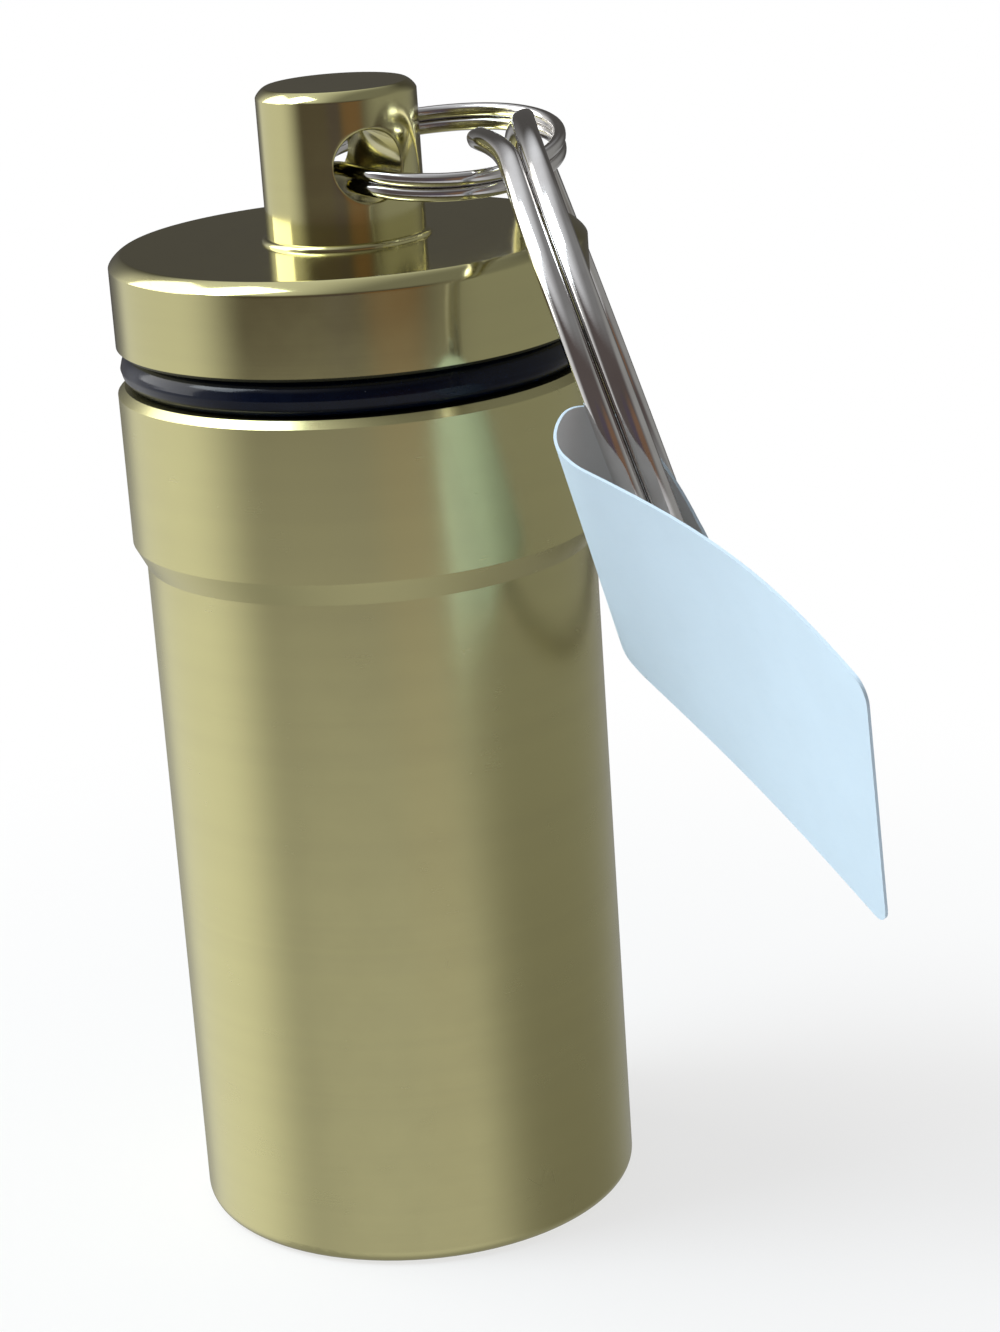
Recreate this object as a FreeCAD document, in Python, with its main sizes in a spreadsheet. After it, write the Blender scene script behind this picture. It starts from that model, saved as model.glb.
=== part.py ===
import FreeCAD, Part
import Sketcher
import math
import os

# Pocket pill vial on a key ring: a turned vial, a screw cap with a cross-drilled post,
# a rubber seal, a small link ring through the post, a split key ring and a folded paper tag.
# Origin at the middle of the vial's base, Z up along the vial, the post's eye along Y and
# the link ring reaching towards X. Lengths in millimetres, angles in degrees.

# Driving sizes: name, value, meaning
SIZES = [
    ("body_dia", 19.0, "outside of the vial's lower part"),
    ("collar_step", 0.5, "how far the neck collar stands out past the lower part"),
    ("shoulder_base", 29.2, "height where the straight lower part ends"),
    ("shoulder_rise", 1.0, "height of the cone up to the collar"),
    ("rim_height", 36.8, "height of the vial's rim"),
    ("rim_bevel", 0.3, "bevel round the outside of the rim"),
    ("mouth_bevel", 0.4, "lead-in bevel inside the mouth"),
    ("neck_step", 0.5, "how far the neck bore, at the thread's root, is cut past the pill space"),
    ("neck_depth", 6.4, "depth of the neck bore below the rim"),
    ("wall", 1.5, "wall round the pill space"),
    ("floor_thick", 1.5, "floor under the pill space"),
    ("foot_round", 0.6, "round on the base edge"),
    ("seal_height", 1.55, "gap between rim and flange, filled by the squashed seal"),
    ("seal_inset", 0.1, "squashed seal in from the cap's outside"),
    ("seal_clear", 0.1, "play between seal and spigot"),
    ("flange_inset", 0.1, "cap in from the collar's outside"),
    ("flange_height", 3.9, "height of the cap's grip"),
    ("flange_round", 0.4, "round on the cap's top edge"),
    ("flange_bevel", 0.15, "bevel on the cap's lower edge"),
    ("thread_room", 0.55, "room for the thread between the neck bore and the cap's spigot"),
    ("spigot_reach", 5.6, "how far the spigot goes below the rim"),
    ("spigot_bevel", 0.5, "lead-in bevel on the spigot"),
    ("post_dia", 6.6, "post on the cap"),
    ("post_height", 6.3, "post above the cap's top face"),
    ("post_round", 0.35, "round on the post's top edge"),
    ("post_foot_width", 0.4, "width of the step ring at the post's foot"),
    ("post_foot_height", 0.3, "height of that step ring"),
    ("eye_dia", 3.2, "hole across the post"),
    ("eye_height", 3.25, "hole's middle above the cap's top face"),
    ("eye_round", 0.15, "edge break round the hole"),
    ("link_share", 0.5202, "outside of the link ring, over the cap's"),
    ("link_wire_share", 0.0272, "wire of the link ring, over its outside"),
    ("key_share", 1.2475, "outside of the key ring, over the cap's"),
    ("key_wire_share", 0.0295, "wire of the key ring, over its outside"),
    ("turn_gap", 0.41, "gap between the two turns of each ring"),
    ("eye_back", 0.63, "link wire behind the hole's axis, inside the hole"),
    ("eye_front", 0.3, "link ring's middle in front of the post's middle"),
    ("eye_drop", 0.63, "link wire below the hole's axis, inside the hole"),
    ("link_rise_deg", 9.1, "rise of the link ring towards its far end"),
    ("link_roll_deg", 7.0, "drop of the link ring towards its front"),
    ("link_cross_deg", 112.0, "where the link wire crosses between its turns"),
    ("hook_deg", 72.1, "where on the link ring the key ring hangs"),
    ("hook_clear", 0.97, "gap between the link ring and the key ring's inside"),
    ("key_face_deg", -22.6, "direction that the key ring faces, from X"),
    ("key_lean_deg", 17.3, "lean of the key ring away from the vial"),
    ("key_cross_deg", 8.0, "where the key wire crosses between its turns"),
    ("cross_span_deg", 36.0, "angle that a wire takes to cross"),
    ("tag_width", 11.4, "width of the paper tag"),
    ("tag_length", 20.2, "fold to free end of the tag"),
    ("paper", 0.2, "thickness of one leaf"),
    ("fold_radius", 2.45, "outside radius of the tag's loop"),
    ("loop_length", 9.5, "fold to where the two leaves meet"),
    ("tag_set", 1.15, "key wire past the middle of the loop"),
    ("tag_place_deg", 109.3, "where on the key ring the tag hangs, from its top"),
    ("tag_swing_deg", 68.4, "turn of the tag about the wire"),
    ("tag_turn_deg", -7.9, "tilt of the loose loop along the wire"),
    ("tag_roll_deg", -0.5, "roll of the leaf about its length"),
]

doc = FreeCAD.newDocument("pill_fob")
sheet = doc.addObject("Spreadsheet::Sheet", "Sizes")
for row, (alias, value, meaning) in enumerate(SIZES, start=1):
    sheet.set("A%d" % row, alias)
    sheet.set("B%d" % row, str(value))
    sheet.setAlias("B%d" % row, alias)
    sheet.set("C%d" % row, meaning)
doc.recompute()


def size(alias):
    """A driving size, read back from the sheet."""
    return float(sheet.get(alias))


# Formulas shared by several pieces
BODY_R = "Sizes.body_dia / 2"
COLLAR_R = BODY_R + " + Sizes.collar_step"
BORE_R = BODY_R + " - Sizes.wall"
NECK_R = BORE_R + " + Sizes.neck_step"
SPIGOT_R = NECK_R + " - Sizes.thread_room"
FLANGE_R = COLLAR_R + " - Sizes.flange_inset"
POST_R = "Sizes.post_dia / 2"
RIM = "Sizes.rim_height"
FLANGE_BASE = RIM + " + Sizes.seal_height"
FLANGE_TOP = FLANGE_BASE + " + Sizes.flange_height"
POST_TOP = FLANGE_TOP + " + Sizes.post_height"
SPIGOT_END = RIM + " - Sizes.spigot_reach"
ORIGIN = (-1, 1)

body_r = size("body_dia") / 2
spigot_r = body_r - size("wall") + size("neck_step") - size("thread_room")
flange_r = body_r + size("collar_step") - size("flange_inset")
flange_base = size("rim_height") + size("seal_height")
flange_top = flange_base + size("flange_height")
post_top = flange_top + size("post_height")
eye_level = flange_top + size("eye_height")

# How closely an edge has to match the circle it is looked up by
match_share = 1e-4


def new_body(name):
    body = doc.addObject("PartDesign::Body", name)
    body.Label = name
    return body


def new_sketch(body, name, role):
    """An empty sketch on one of the body's own origin planes."""
    sketch = body.newObject("Sketcher::SketchObject", name)
    plane = [item for item in body.Origin.OriginFeatures if item.Role == role][0]
    sketch.AttachmentSupport = [(plane, "")]
    sketch.MapMode = "FlatFace"
    return sketch


def pin(sketch, kind, geometry, point, formula):
    """Bind one coordinate of a sketch point to a sheet formula."""
    number = sketch.addConstraint(Sketcher.Constraint(kind, *ORIGIN, geometry, point, 0.0))
    sketch.setExpression("Constraints[%d]" % number, formula)


def polygon(sketch, corners):
    """Closed outline of straight sides, each corner at (across, up) by formula."""
    count = len(corners)
    start = [FreeCAD.Vector(math.cos(2 * math.pi * i / count), math.sin(2 * math.pi * i / count), 0)
             for i in range(count)]
    for i in range(count):
        sketch.addGeometry(Part.LineSegment(start[i], start[(i + 1) % count]), False)
    for i in range(count):
        sketch.addConstraint(Sketcher.Constraint("Coincident", i, 2, (i + 1) % count, 1))
    for i, (across, up) in enumerate(corners):
        pin(sketch, "DistanceX", i, 1, across)
        pin(sketch, "DistanceY", i, 1, up)


def revolve(body, name, sketch):
    feature = body.newObject("PartDesign::Revolution", name)
    feature.Profile = sketch
    feature.ReferenceAxis = (sketch, ["V_Axis"])
    feature.Angle = 360.0
    doc.recompute()
    return feature


def round_edges(body, name, base, edges, alias):
    """Fillet the named edges by a sheet size."""
    if not edges:
        raise RuntimeError("no edge found for " + name)
    feature = body.newObject("PartDesign::Fillet", name)
    feature.Base = (base, edges)
    feature.setExpression("Radius", "Sizes." + alias)
    doc.recompute()
    return feature


def circle_edges(shape, radius, level):
    """Names of the round edges about Z of this radius at this level."""
    near = match_share * size("body_dia")
    names = []
    for number, edge in enumerate(shape.Edges, start=1):
        curve = edge.Curve
        if not isinstance(curve, Part.Circle):
            continue
        if abs(curve.Radius - radius) < near and abs(curve.Center.z - level) < near:
            names.append("Edge%d" % number)
    return names


# Vial: turned profile with the stepped collar, the bored pill space and the wider neck
vial = new_body("vial")
vial_profile = new_sketch(vial, "vial_profile", "XZ_Plane")
polygon(vial_profile, [
    ("0", "0"),
    (BODY_R, "0"),
    (BODY_R, "Sizes.shoulder_base"),
    (COLLAR_R, "Sizes.shoulder_base + Sizes.shoulder_rise"),
    (COLLAR_R, RIM + " - Sizes.rim_bevel"),
    (COLLAR_R + " - Sizes.rim_bevel", RIM),
    (NECK_R + " + Sizes.mouth_bevel", RIM),
    (NECK_R, RIM + " - Sizes.mouth_bevel"),
    (NECK_R, RIM + " - Sizes.neck_depth"),
    (BORE_R, RIM + " - Sizes.neck_depth - Sizes.neck_step"),
    (BORE_R, "Sizes.floor_thick"),
    ("0", "Sizes.floor_thick"),
])
vial_turned = revolve(vial, "vial_turned", vial_profile)
foot = circle_edges(vial_turned.Shape, body_r, 0)
round_edges(vial, "vial_foot", vial_turned, foot, "foot_round")

# Seal: rubber ring squashed flat between rim and flange, round on its two sides
seal = new_body("o_ring")
seal_section = new_sketch(seal, "seal_section", "XZ_Plane")
SEAL_HALF = "Sizes.seal_height / 2"
SEAL_IN = SPIGOT_R + " + Sizes.seal_clear + " + SEAL_HALF
SEAL_OUT = FLANGE_R + " - Sizes.seal_inset - " + SEAL_HALF
half_height = size("seal_height") / 2
middle = size("rim_height") + half_height
inner = spigot_r + size("seal_clear") + half_height
outer = flange_r - size("seal_inset") - half_height
flat_axis = FreeCAD.Vector(0, 0, 1)
inner_side = Part.Circle(FreeCAD.Vector(inner, middle, 0), flat_axis, half_height)
outer_side = Part.Circle(FreeCAD.Vector(outer, middle, 0), flat_axis, half_height)
seal_section.addGeometry(Part.ArcOfCircle(inner_side, math.pi / 2, 3 * math.pi / 2), False)
seal_section.addGeometry(Part.ArcOfCircle(outer_side, -math.pi / 2, math.pi / 2), False)
bottom, top = middle - half_height, middle + half_height
seal_section.addGeometry(Part.LineSegment(FreeCAD.Vector(inner, bottom, 0), FreeCAD.Vector(outer, bottom, 0)), False)
seal_section.addGeometry(Part.LineSegment(FreeCAD.Vector(outer, top, 0), FreeCAD.Vector(inner, top, 0)), False)
for first, first_end, second, second_end in ((0, 2, 2, 1), (2, 2, 1, 1), (1, 2, 3, 1), (3, 2, 0, 1)):
    seal_section.addConstraint(Sketcher.Constraint("Tangent", first, first_end, second, second_end))
pin(seal_section, "DistanceX", 0, 3, SEAL_IN)
pin(seal_section, "DistanceY", 0, 3, RIM + " + " + SEAL_HALF)
pin(seal_section, "DistanceX", 1, 3, SEAL_OUT)
pin(seal_section, "DistanceY", 1, 3, RIM + " + " + SEAL_HALF)
seal_section.addConstraint(Sketcher.Constraint("Equal", 0, 1))
seal_radius = seal_section.addConstraint(Sketcher.Constraint("Radius", 0, half_height))
seal_section.setExpression("Constraints[%d]" % seal_radius, SEAL_HALF)
revolve(seal, "seal_turned", seal_section)

# Cap: spigot, grip flange and post turned in one, then the eye drilled across the post
cap = new_body("cap")
cap_profile = new_sketch(cap, "cap_profile", "XZ_Plane")
polygon(cap_profile, [
    ("0", SPIGOT_END),
    (SPIGOT_R + " - Sizes.spigot_bevel", SPIGOT_END),
    (SPIGOT_R, SPIGOT_END + " + Sizes.spigot_bevel"),
    (SPIGOT_R, FLANGE_BASE),
    (FLANGE_R + " - Sizes.flange_bevel", FLANGE_BASE),
    (FLANGE_R, FLANGE_BASE + " + Sizes.flange_bevel"),
    (FLANGE_R, FLANGE_TOP),
    (POST_R + " + Sizes.post_foot_width", FLANGE_TOP),
    (POST_R + " + Sizes.post_foot_width", FLANGE_TOP + " + Sizes.post_foot_height"),
    (POST_R, FLANGE_TOP + " + Sizes.post_foot_height"),
    (POST_R, POST_TOP),
    ("0", POST_TOP),
])
cap_turned = revolve(cap, "cap_turned", cap_profile)
flange_edge = circle_edges(cap_turned.Shape, flange_r, flange_top)
cap_grip = round_edges(cap, "cap_grip", cap_turned, flange_edge, "flange_round")
post_edge = circle_edges(cap_grip.Shape, size("post_dia") / 2, post_top)
cap_post = round_edges(cap, "cap_post", cap_grip, post_edge, "post_round")

eye_sketch = new_sketch(cap, "eye_sketch", "XZ_Plane")
eye_start = Part.Circle(FreeCAD.Vector(0, eye_level, 0), flat_axis, size("eye_dia") / 2)
eye_sketch.addGeometry(eye_start, False)
eye_sketch.addConstraint(Sketcher.Constraint("PointOnObject", 0, 3, -2))
pin(eye_sketch, "DistanceY", 0, 3, FLANGE_TOP + " + Sizes.eye_height")
eye_width = eye_sketch.addConstraint(Sketcher.Constraint("Diameter", 0, size("eye_dia")))
eye_sketch.setExpression("Constraints[%d]" % eye_width, "Sizes.eye_dia")
cap_eye = cap.newObject("PartDesign::Pocket", "cap_eye")
cap_eye.Profile = eye_sketch
cap_eye.SideType = "Symmetric"
cap_eye.Type = "ThroughAll"
doc.recompute()
drilled = cap_post.Shape.Volume - cap_eye.Shape.Volume
if drilled < math.pi * (size("eye_dia") / 2) ** 2 * size("post_dia") / 2:
    raise RuntimeError("the eye did not cut through the post")


def eye_edges(shape):
    """Names of the two curved edges where the eye breaks through the post's side."""
    near = match_share * size("post_dia")
    names = []
    for number, edge in enumerate(shape.Edges, start=1):
        points = edge.discretize(9)
        on_post = all(abs(math.hypot(p.x, p.y) - size("post_dia") / 2) < near for p in points)
        on_eye = all(abs(math.hypot(p.x, p.z - eye_level) - size("eye_dia") / 2) < near for p in points)
        if on_post and on_eye:
            names.append("Edge%d" % number)
    return names


round_edges(cap, "cap_eye_edges", cap_eye, eye_edges(cap_eye.Shape), "eye_round")


# Split rings: one wire that runs a turn on one level, crosses, and runs a turn on the other
def biarc(start, start_way, end, end_way):
    """Two arcs that leave one point and reach another in the given directions."""
    span = end - start
    ways = start_way + end_way
    square = 2 - 2 * start_way.dot(end_way)
    linear = 2 * span.dot(ways)
    constant = span.dot(span)
    reach = 2 * constant / (linear + math.sqrt(linear * linear + 4 * square * constant))
    first_corner = start + start_way * reach
    second_corner = end - end_way * reach
    join = (first_corner + second_corner) * 0.5
    arcs = []
    for a, corner, b in ((start, first_corner, join), (join, second_corner, end)):
        chord_middle = (a + b) * 0.5
        half_turn = math.cos((corner - a).getAngle(b - corner) / 2)
        crown = chord_middle + (corner - chord_middle) * (half_turn / (1 + half_turn))
        arcs.append(Part.Arc(a, crown, b).toShape())
    return arcs


def ring_stops(radius, level, cross):
    """Points and directions along the wire, from one end to the other."""
    span = math.radians(size("cross_span_deg"))
    first = math.radians(cross) + span / 2
    turn = 2 * math.pi - span
    quarter = turn / 4
    stops = [(first + quarter * i, level, 0.0) for i in range(5)]
    steepest = -math.pi / 2 * 2 * level / (radius * span)
    stops.append((first + turn + span / 2, 0.0, steepest))
    stops += [(first + turn + span + quarter * i, -level, 0.0) for i in range(5)]
    result = []
    for angle, height, slope in stops:
        place = FreeCAD.Vector(radius * math.cos(angle), radius * math.sin(angle), height)
        way = FreeCAD.Vector(-math.sin(angle), math.cos(angle), slope)
        result.append((place, way.normalize()))
    return result


def split_ring(name, outside_dia, wire_dia, cross):
    """A two-turn split ring about Z, its wire crossing at the given angle."""
    radius = (outside_dia - wire_dia) / 2
    level = (wire_dia + size("turn_gap")) / 2
    stops = ring_stops(radius, level, cross)
    edges = []
    for (start, start_way), (end, end_way) in zip(stops, stops[1:]):
        edges += biarc(start, start_way, end, end_way)
    path = Part.Wire(edges)
    section = Part.Wire([Part.makeCircle(wire_dia / 2, stops[0][0], stops[0][1])])
    ring = doc.addObject("Part::Feature", name)
    ring.Label = name
    ring.Shape = path.makePipeShell([section], True, False)
    print(name, "least gap between turns %.3f mm" % least_gap(path, wire_dia))
    return ring


def least_gap(path, wire_dia):
    """Smallest clear distance of the wire to itself, measured on points along it."""
    step = wire_dia / 4
    count = int(path.Length / step)
    points = path.discretize(count)
    apart = int(math.pi * wire_dia / step)
    least = path.Length
    for i in range(count):
        for j in range(i + apart, count):
            least = min(least, points[i].distanceToPoint(points[j]))
    return least - wire_dia


Y_AXIS = FreeCAD.Vector(0, 1, 0)
X_AXIS = FreeCAD.Vector(1, 0, 0)
Z_AXIS = FreeCAD.Vector(0, 0, 1)


def turned(axis, degrees):
    return FreeCAD.Rotation(axis, degrees)


def ring_point(radius, degrees):
    """A point on a ring about Z, in the ring's own frame."""
    angle = math.radians(degrees)
    return FreeCAD.Vector(radius * math.cos(angle), radius * math.sin(angle), 0)


# Link ring: its wire lies in the eye, and its far end rises a little off the cap
link_dia = size("link_share") * 2 * flange_r
link_wire = size("link_wire_share") * link_dia
link_radius = (link_dia - link_wire) / 2
link_half = link_wire + size("turn_gap") / 2
link_turn = turned(Y_AXIS, -size("link_rise_deg")).multiply(turned(X_AXIS, size("link_roll_deg")))
in_eye = FreeCAD.Vector(-size("eye_back"), -size("eye_front"), eye_level - size("eye_drop"))
link_middle = in_eye + link_turn.multVec(ring_point(link_radius, 0))
link_ring = split_ring("link_ring", link_dia, link_wire, -size("link_cross_deg"))
link_ring.Placement = FreeCAD.Placement(link_middle, link_turn)

# Key ring: hangs with its inside over the link ring's front, leaning out past the cap.
# In its own frame X points to its top, Y to its front and Z out along its axis.
key_dia = size("key_share") * 2 * flange_r
key_wire = size("key_wire_share") * key_dia
key_radius = (key_dia - key_wire) / 2
hook = link_middle + link_turn.multVec(ring_point(link_radius, -size("hook_deg")))
upright = FreeCAD.Rotation(Z_AXIS, -Y_AXIS, X_AXIS, "XYZ")
key_turn = turned(Z_AXIS, size("key_face_deg")).multiply(turned(Y_AXIS, -size("key_lean_deg"))).multiply(upright)
hook_radius = key_radius - key_wire / 2 - size("hook_clear") - link_half
key_middle = hook - key_turn.multVec(ring_point(hook_radius, 0))
key_ring = split_ring("key_ring", key_dia, key_wire, size("key_cross_deg"))
key_ring.Placement = FreeCAD.Placement(key_middle, key_turn)

# Paper tag: a strip folded round the key ring's wire, its two leaves meeting past the wire.
# Section across the fold: X from the fold along the leaf, Y square to the leaf.
tag = new_body("hang_tag")
tag_section = new_sketch(tag, "tag_section", "XY_Plane")


def loop_outline(sketch, radius, tip, lower):
    """Teardrop of one arc about the fold and two tangent sides that meet at the tip."""
    centre = FreeCAD.Vector(size("fold_radius"), -size("fold_radius"), 0)
    tip_place = FreeCAD.Vector(tip, lower, 0)
    reach = tip_place - centre
    bearing = math.atan2(reach.y, reach.x)
    opening = math.acos(radius / reach.Length)
    leave = bearing - opening + 2 * math.pi
    upper_end = centre + FreeCAD.Vector(0, radius, 0)
    lower_end = centre + FreeCAD.Vector(radius * math.cos(leave), radius * math.sin(leave), 0)
    first = sketch.GeometryCount
    sketch.addGeometry(Part.ArcOfCircle(Part.Circle(centre, flat_axis, radius), math.pi / 2, leave), False)
    sketch.addGeometry(Part.LineSegment(lower_end, tip_place), False)
    sketch.addConstraint(Sketcher.Constraint("Tangent", first, 2, first + 1, 1))
    pin(sketch, "DistanceX", first, 3, "Sizes.fold_radius")
    pin(sketch, "DistanceY", first, 3, "-Sizes.fold_radius")
    return first, upper_end, tip_place


def set_radius(sketch, geometry, value, formula):
    number = sketch.addConstraint(Sketcher.Constraint("Radius", geometry, value))
    sketch.setExpression("Constraints[%d]" % number, formula)


# Outside of the strip
outside, leaf_start, _ = loop_outline(tag_section, size("fold_radius"), size("loop_length"), -2 * size("paper"))
set_radius(tag_section, outside, size("fold_radius"), "Sizes.fold_radius")
leaf_end = FreeCAD.Vector(size("tag_length"), 0, 0)
leaf_under = FreeCAD.Vector(size("tag_length"), -2 * size("paper"), 0)
meeting = FreeCAD.Vector(size("loop_length"), -2 * size("paper"), 0)
tag_section.addGeometry(Part.LineSegment(meeting, leaf_under), False)
tag_section.addGeometry(Part.LineSegment(leaf_under, leaf_end), False)
tag_section.addGeometry(Part.LineSegment(leaf_end, leaf_start), False)
for first, second in ((1, 2), (2, 3), (3, 4)):
    tag_section.addConstraint(Sketcher.Constraint("Coincident", outside + first, 2, outside + second, 1))
tag_section.addConstraint(Sketcher.Constraint("Tangent", outside + 4, 2, outside, 1))
pin(tag_section, "DistanceX", outside + 2, 1, "Sizes.loop_length")
pin(tag_section, "DistanceY", outside + 2, 1, "-2 * Sizes.paper")
pin(tag_section, "DistanceX", outside + 3, 1, "Sizes.tag_length")
pin(tag_section, "DistanceY", outside + 3, 1, "-2 * Sizes.paper")
pin(tag_section, "DistanceX", outside + 4, 1, "Sizes.tag_length")
tag_section.addConstraint(Sketcher.Constraint("PointOnObject", outside + 4, 1, -1))

# Inside of the loop, one paper thickness in
inside, inner_start, inner_tip = loop_outline(
    tag_section, size("fold_radius") - size("paper"), size("loop_length"), -size("paper"))
set_radius(tag_section, inside, size("fold_radius") - size("paper"), "Sizes.fold_radius - Sizes.paper")
tag_section.addGeometry(Part.LineSegment(inner_tip, inner_start), False)
tag_section.addConstraint(Sketcher.Constraint("Coincident", inside + 1, 2, inside + 2, 1))
tag_section.addConstraint(Sketcher.Constraint("Tangent", inside + 2, 2, inside, 1))
pin(tag_section, "DistanceX", inside + 2, 1, "Sizes.loop_length")

tag_strip = tag.newObject("PartDesign::Pad", "tag_strip")
tag_strip.Profile = tag_section
tag_strip.SideType = "Symmetric"
tag_strip.setExpression("Length", "Sizes.tag_width")

# On the wire: X outwards, Z along the wire, then swung about the wire and tilted in its loop
wire_place = FreeCAD.Placement(FreeCAD.Vector(key_radius, 0, 0), FreeCAD.Rotation(X_AXIS, -Z_AXIS, Y_AXIS, "XYZ"))
round_ring = FreeCAD.Placement(FreeCAD.Vector(), turned(Z_AXIS, size("tag_place_deg")))
loose = turned(Y_AXIS, size("tag_turn_deg")).multiply(turned(X_AXIS, size("tag_roll_deg")))
swing = turned(Z_AXIS, size("tag_swing_deg") - 90).multiply(loose)
loop_shift = FreeCAD.Vector(-size("fold_radius") - size("tag_set"), size("fold_radius"), 0)
swung = FreeCAD.Placement(swing.multVec(loop_shift), swing)
tag.Placement = key_ring.Placement.multiply(round_ring).multiply(wire_place).multiply(swung)

doc.recompute()

# Nothing is written unless every object is sound
for item in doc.Objects:
    if "Invalid" in item.State or "Error" in item.State:
        raise RuntimeError("%s did not build: %s" % (item.Name, item.State))
os.makedirs("parts", exist_ok=True)
for piece in (vial, seal, cap, link_ring, key_ring, tag):
    shape = piece.Shape
    if shape.isNull() or not shape.isValid() or len(shape.Solids) != 1:
        raise RuntimeError(piece.Label + " is not one sound solid")
    shape.exportStep("parts/%s.step" % piece.Label)
    box = shape.BoundBox
    print("%-10s volume %8.1f mm3  box %.1f x %.1f x %.1f" % (
        piece.Label, shape.Volume, box.XLength, box.YLength, box.ZLength))
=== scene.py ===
import math

import bmesh
import bpy
import numpy as np
from mathutils import Matrix, Vector


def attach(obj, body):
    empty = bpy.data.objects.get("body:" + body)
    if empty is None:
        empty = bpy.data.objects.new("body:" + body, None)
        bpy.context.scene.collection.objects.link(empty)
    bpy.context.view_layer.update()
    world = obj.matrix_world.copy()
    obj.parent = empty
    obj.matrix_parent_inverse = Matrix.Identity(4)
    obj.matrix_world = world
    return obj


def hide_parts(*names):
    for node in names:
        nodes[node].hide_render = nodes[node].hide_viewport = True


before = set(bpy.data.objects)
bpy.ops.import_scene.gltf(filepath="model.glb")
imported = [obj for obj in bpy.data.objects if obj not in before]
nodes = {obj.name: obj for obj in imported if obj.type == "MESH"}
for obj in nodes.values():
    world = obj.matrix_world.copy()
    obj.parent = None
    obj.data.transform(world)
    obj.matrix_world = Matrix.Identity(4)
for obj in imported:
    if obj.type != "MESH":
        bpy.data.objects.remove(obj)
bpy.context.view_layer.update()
scene = bpy.context.scene
MM = 0.001

# Sizes that repeat the part's source, in millimetres and degrees
BODY_R, COLLAR_STEP, FLANGE_INSET = 9.5, 0.5, 0.1
WALL, NECK_STEP, THREAD_ROOM = 1.5, 0.5, 0.55
RIM, SPIGOT_REACH = 36.8, 5.6
SEAL_HEIGHT, SEAL_INSET, SEAL_CLEAR = 1.55, 0.1, 0.1
FLANGE_HEIGHT, EYE_HEIGHT = 3.9, 3.25
SPIGOT_BEVEL, FLANGE_BEVEL, POST_R, POST_HEIGHT = 0.5, 0.15, 3.3, 6.3
FLANGE_R = BODY_R + COLLAR_STEP - FLANGE_INSET
FLANGE_BASE = RIM + SEAL_HEIGHT
FLANGE_TOP = FLANGE_BASE + FLANGE_HEIGHT
POST_TOP = FLANGE_TOP + POST_HEIGHT
NECK_R = BODY_R - WALL + NECK_STEP
SPIGOT_R = NECK_R - THREAD_ROOM
SPIGOT_END = RIM - SPIGOT_REACH
EYE_LEVEL = RIM + SEAL_HEIGHT + FLANGE_HEIGHT + EYE_HEIGHT
THREAD_PITCH = 1.5
LINK_DIA = 0.5202 * 2 * FLANGE_R
KEY_DIA = 1.2475 * 2 * FLANGE_R
LINK_WIRE, KEY_WIRE, TURN_GAP = 0.0272 * LINK_DIA, 0.0295 * KEY_DIA, 0.41
EYE_BACK, EYE_FRONT, EYE_DROP = 0.63, 0.3, 0.63
LINK_RISE, LINK_ROLL = 9.1, 7.0
HOOK, HOOK_CLEAR = 72.1, 0.97
KEY_FACE, KEY_LEAN = -22.6, 17.3
TAG_WIDTH, TAG_LENGTH, FOLD_R, LOOP_LENGTH = 11.4, 20.2, 2.45, 9.5
TAG_SET, TAG_PLACE, TAG_SWING, TAG_TURN, TAG_ROLL = 1.15, 109.3, 68.4, -7.9, -0.5

# Cap: softer bevels, a finer bead at the post's foot and a tighter eye than its solid
FLANGE_EDGE, POST_EDGE, BEVEL_POWER = (0.55, 0.5), (0.4, 0.4), 1.5
BEAD_WIDTH, BEAD_HEIGHT = 0.24, 0.22
EYE_R, EYE_EDGE, EYE_FRAME = 1.46, 0.09, 2.2
SUPPORT = 0.05                       # row of points beside an edge, which keeps the flat beside it flat
FRAME_STEPS, SIDE_STEPS, RING_STEPS = 36, 48, 11

# Screw threads: depth, root sunk in the wall, run-out in radians, and where they start and stop
THREAD_DEPTH, THREAD_SUNK, THREAD_FADE = 0.4, 0.12, 1.2
THREAD_START, SPIGOT_STOP, NECK_STOP = 1.0, 0.5, 0.8

# Seal: mould line's height and half angle, and the room left for it
MOULD_LINE, MOULD_ANGLE, MOULD_ROOM = 0.025, 0.09, 0.03

# Split rings: fuller wire than the solids, the crossing, the sprung end, and how each hangs
CROSS_SPAN, SPRUNG_SPAN, WIRE_POWER, TURN_LIFT = 36.0, 26.0, 2.4, 1.02
LINK_R, LINK_ACROSS, LINK_ALONG, LINK_CROSS = 4.97, 0.27, 0.29, 180.0
LINK_SAG, LINK_SADDLE, LINK_SHIFT = 6.0, 0.25, (-0.1, 0, 0.28)
KEY_R, KEY_ACROSS, KEY_ALONG, KEY_CROSS = 11.92, 0.42, 0.49, -24.0
KEY_FLARE, KEY_SHIFT = 0.95, (-0.45, 0, 0)

# Tag: paper, leaf and corner sizes, and how far the loose leaf is out of flat
PAPER, LEAF_Y, LEAF_GAP, CORNER = 0.12, -0.1, 0.05, 0.8
BOW_FROM, BOW, BOW_TILT, TWIST = 3.2, -0.55, 0.35, 0.8
# Tag's loop: where it leaves the round fold, its pull at both ends, and where its sides meet
LOOP_LEAVE, LOOP_PULL, TIP_PULL, TIP_SHORT = 200, 1.0, (4.0, 5.5), 0.8
# Tag's tail: how much it narrows from above and over what length, and how much shorter it is
TAIL_DROP, TAIL_RUN, TAIL_SHORT = 7.8, 8.0, 4.5
# Tag's waist from below: depth, then start and length of its way in and of its way out, from the fold
WAIST, WAIST_IN, WAIST_OUT = 1.5, (-1.0, 4.6), (6.0, 6.0)
PAPER_FACE, PAPER_BACK = (0.70, 0.86, 0.99), (0.84, 0.85, 0.86)


def turn(axis, degrees):
    return Matrix.Rotation(math.radians(degrees), 4, axis)


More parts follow.
